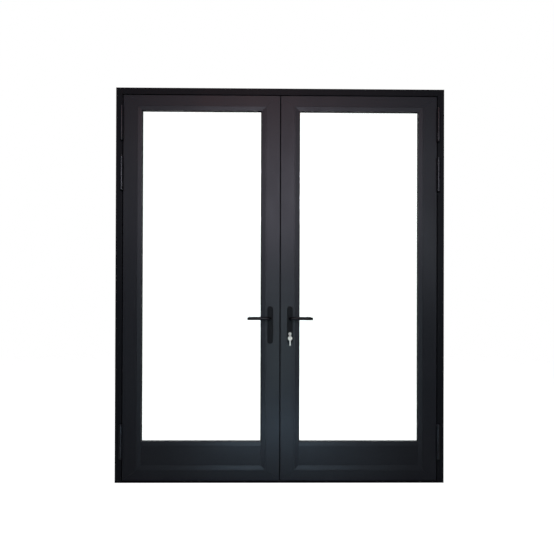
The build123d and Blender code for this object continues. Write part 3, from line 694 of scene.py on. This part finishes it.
def make_lip_tree():
    """A gasket's lip round an upright pane: thick beside the bead, thin at its edge."""
    sizes = ("Width", "Height", "Reach", "Root Thickness", "Tip Thickness")
    tree, given = new_tree(
        "gasket_lip", [("Centre", "Vector"), *((label, "Float") for label in sizes)], "Lip"
    )
    path = add_node(
        tree,
        "GeometryNodeCurvePrimitiveQuadrilateral",
        [("Width", given["Width"]), ("Height", given["Height"])],
    )
    # inwards is against the section's X, and a mitre shortens a section by the root of 2
    reach = calculate(tree, "MULTIPLY", given["Reach"], -sqrt(2))
    section = add_node(tree, "GeometryNodeCurvePrimitiveQuadrilateral", mode="POINTS")
    for label, place in (
        ("Point 1", []),
        ("Point 2", [("X", reach)]),
        ("Point 3", [("X", reach), ("Y", given["Tip Thickness"])]),
        ("Point 4", [("Y", given["Root Thickness"])]),
    ):
        corner = add_node(tree, "ShaderNodeCombineXYZ", place)
        tree.links.new(corner.outputs[0], section.inputs[label])
    sweep = add_node(
        tree,
        "GeometryNodeCurveToMesh",
        [("Curve", path.outputs["Curve"]), ("Profile Curve", section.outputs["Curve"])],
    )
    upright = add_node(
        tree,
        "GeometryNodeTransform",
        links=[("Geometry", sweep.outputs["Mesh"]), ("Translation", given["Centre"])],
        Rotation=(radians(90), 0.0, 0.0),
    )
    end_tree(tree, upright.outputs["Geometry"], given["Finish"])
    return tree


def make_gasket_lips():
    """The lips of the glazing gaskets, which lie on the glass past the beads' edges."""
    tree = make_lip_tree()
    for side in ("left", "right"):
        gaskets = frame["nodes"][f"{side}_glazing_gaskets"].data
        low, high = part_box(f"{side}_glass_panes")
        centre_x, centre_z = (low.x + high.x) / 2, (low.z + high.z) / 2
        for place, glass, outwards in (("outer", low.y, -1), ("inner", high.y, 1)):
            near = [v.co for v in gaskets.vertices if outwards * (v.co.y - glass) > LIP_LAID / 2]
            width = 2 * (min(abs(p.x - centre_x) for p in near) - LIP_LAID)
            height = 2 * (min(abs(p.z - centre_z) for p in near) - LIP_LAID)
            name = f"{side}_{place}_gasket_lip"
            inputs = {
                "Centre": (centre_x, glass + outwards * LIP_LAID, centre_z),
                "Width": width,
                "Height": height,
                "Reach": LIP_REACH,
                "Root Thickness": outwards * LIP_ROOT,
                "Tip Thickness": outwards * LIP_TIP,
                "Finish": FINISHES["black_rubber"],
            }
            lip = grow(name, tree, inputs, bpy.data.meshes.new(name + "_start"))
            make_piece(name, lip, f"{side}_leaf")


def make_seal_flap():
    """The soft flap that the left leaf's fin carries, just past the tip of the right one."""
    low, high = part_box("left_meeting_seal")
    right_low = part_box("right_meeting_seal")[0]
    root, step, tip = low.x + FLAP_INSET, high.x, right_low.x + FLAP_OVERLAP
    front, back = high.y, high.y + FLAP_THICKNESS
    middle = front + FLAP_CLEARANCE
    own_fin = ((root, front), (step, front))
    other_fin = ((step, middle), (tip, middle))
    outline = (*own_fin, *other_fin, (tip, back), (root, back))
    shape = bmesh.new()
    ends = [[shape.verts.new((x, y, z)) for x, y in outline] for z in (low.z, high.z)]
    shape.faces.new(ends[0][::-1])
    shape.faces.new(ends[1])
    for i in range(len(outline)):
        k = (i + 1) % len(outline)
        shape.faces.new((ends[0][i], ends[0][k], ends[1][k], ends[1][i]))
    bmesh.ops.recalc_face_normals(shape, faces=shape.faces)
    mesh = bpy.data.meshes.new("meeting_seal_flap")
    shape.to_mesh(mesh)
    shape.free()
    mesh.materials.append(FINISHES["black_rubber"])
    make_piece("meeting_seal_flap", mesh, "left_leaf")


# Surroundings


def seen_directly(tree):
    """Whether a surface is looked at, straight or through glass, and whether through glass."""
    rays = add_node(tree, "ShaderNodeLightPath")
    straight, through = rays.outputs["Is Camera Ray"], rays.outputs["Is Transmission Ray"]
    return calculate(tree, "MAXIMUM", straight, through), through


def make_floor():
    """A pale round floor that melts into the white around it."""
    mesh = bpy.data.meshes.new("floor")
    shape = bmesh.new()
    bmesh.ops.create_circle(shape, cap_ends=True, segments=FLOOR_SIDES, radius=FLOOR_RADIUS)
    shape.to_mesh(mesh)
    shape.free()
    floor = bpy.data.objects.new("floor", mesh)
    bpy.context.scene.collection.objects.link(floor)
    material, tree, shader, place = new_material("pale_floor")
    shader.inputs["Base Color"].default_value = (FLOOR_TONE, FLOOR_TONE, FLOOR_TONE, 1.0)
    shader.inputs["Roughness"].default_value = 0.8
    shader.inputs["Specular IOR Level"].default_value = 0.1
    distance = add_node(tree, "ShaderNodeVectorMath", links=[(0, place)], operation="LENGTH")
    start, end = (share * FLOOR_RADIUS for share in FLOOR_FADE)
    solid = blend_range(tree, distance.outputs["Value"], start, end, 1.0, 0.0)
    tree.links.new(solid, shader.inputs["Alpha"])
    seen, through = seen_directly(tree)
    plain = mix_colours(tree, seen, FLOOR_REFLECTION, FLOOR_SEEN)
    glow = mix_colours(tree, through, plain, FLOOR_SEEN_THROUGH_GLASS)
    tree.links.new(glow, shader.inputs["Emission Color"])
    shader.inputs["Emission Strength"].default_value = 1.0
    mesh.materials.append(material)


def make_world():
    """White to look at, and a dim grey as light and in reflections."""
    world = bpy.data.worlds.new("studio")
    bpy.context.scene.world = world
    world.use_nodes = True
    tree = world.node_tree
    background = tree.nodes["Background"]
    seen, through = seen_directly(tree)
    plain = blend_range(tree, seen, 0.0, 1.0, WORLD_LIGHT, WORLD_SEEN)
    extra = blend_range(tree, through, 0.0, 1.0, 0.0, WORLD_SEEN_THROUGH_GLASS - WORLD_SEEN)
    tree.links.new(calculate(tree, "ADD", plain, extra), background.inputs["Strength"])
    tint = mix_colours(tree, seen, WORLD_TINT, (1.0, 1.0, 1.0))
    tree.links.new(tint, background.inputs["Color"])


def make_light(name, place, aim, size, power, colour):
    """A soft rectangular light that points at a place, and isn't looked at itself."""
    light = bpy.data.lights.new(name, "AREA")
    light.shape = "RECTANGLE"
    light.size, light.size_y = size
    light.energy = power
    light.color = colour
    lamp = bpy.data.objects.new(name, light)
    lamp.location = place
    lamp.rotation_euler = (Vector(aim) - Vector(place)).to_track_quat("-Z", "Y").to_euler()
    bpy.context.scene.collection.objects.link(lamp)
    lamp.visible_camera = False
    lamp.visible_transmission = False


# Name, place, what it points at, size, power and colour of each light
LIGHTS = (
    ("middle_softbox", (0.0, -4.4, 2.7), (0, 0, 1.6), (0.9, 0.9), 23, (0.86, 0.83, 1.0)),
    ("upper_warm", (-0.2, -4.2, 4.2), (0, 0, 2.0), (2.4, 0.8), 7.5, (1.0, 0.16, 0.06)),
    ("lower_cool", (0.0, -4.2, 0.6), (0, 0, 0.6), (0.9, 0.9), 12.2, (0.68, 0.9, 1.0)),
    ("right_cool", (2.6, -4.4, 2.1), (0.9, 0, 1.5), (0.7, 1.3), 7.0, (0.8, 0.9, 1.0)),
    ("floor_strip", (0.0, -1.1, 0.08), (0, 0, 0.25), (1.1, 0.08), 1.6, (0.5, 0.74, 1.0)),
    ("wide_fill", (0.0, -5.5, 3.1), (0, 0, 1.2), (7.0, 2.4), 38, (0.86, 0.88, 1.0)),
    ("overhead", (0.0, 0.9, 4.6), (0, 0.3, 0), (4.0, 4.0), 60, (1.0, 1.0, 1.0)),
    ("behind", (0.6, 4.2, 2.4), (0, 0, 1.2), (2.4, 2.0), 60, (1.0, 1.0, 1.0)),
)


def make_lights():
    """All the lights of the studio."""
    for light in LIGHTS:
        make_light(*light)


def make_camera():
    """The camera of the photograph's view."""
    camera = bpy.data.cameras.new("camera")
    camera.lens = CAMERA_LENS
    camera.sensor_width = CAMERA_SENSOR
    camera.shift_y = CAMERA_SHIFT
    viewer = bpy.data.objects.new("camera", camera)
    viewer.location = CAMERA_PLACE
    viewer.rotation_euler = [radians(angle) for angle in CAMERA_TURN]
    bpy.context.scene.collection.objects.link(viewer)
    bpy.context.scene.camera = viewer


make_camera()
bpy.context.scene.view_settings.view_transform = "Standard"
dress_nodes()
fit_screws()
make_gasket_lips()
make_seal_flap()
make_floor()
make_world()
make_lights()
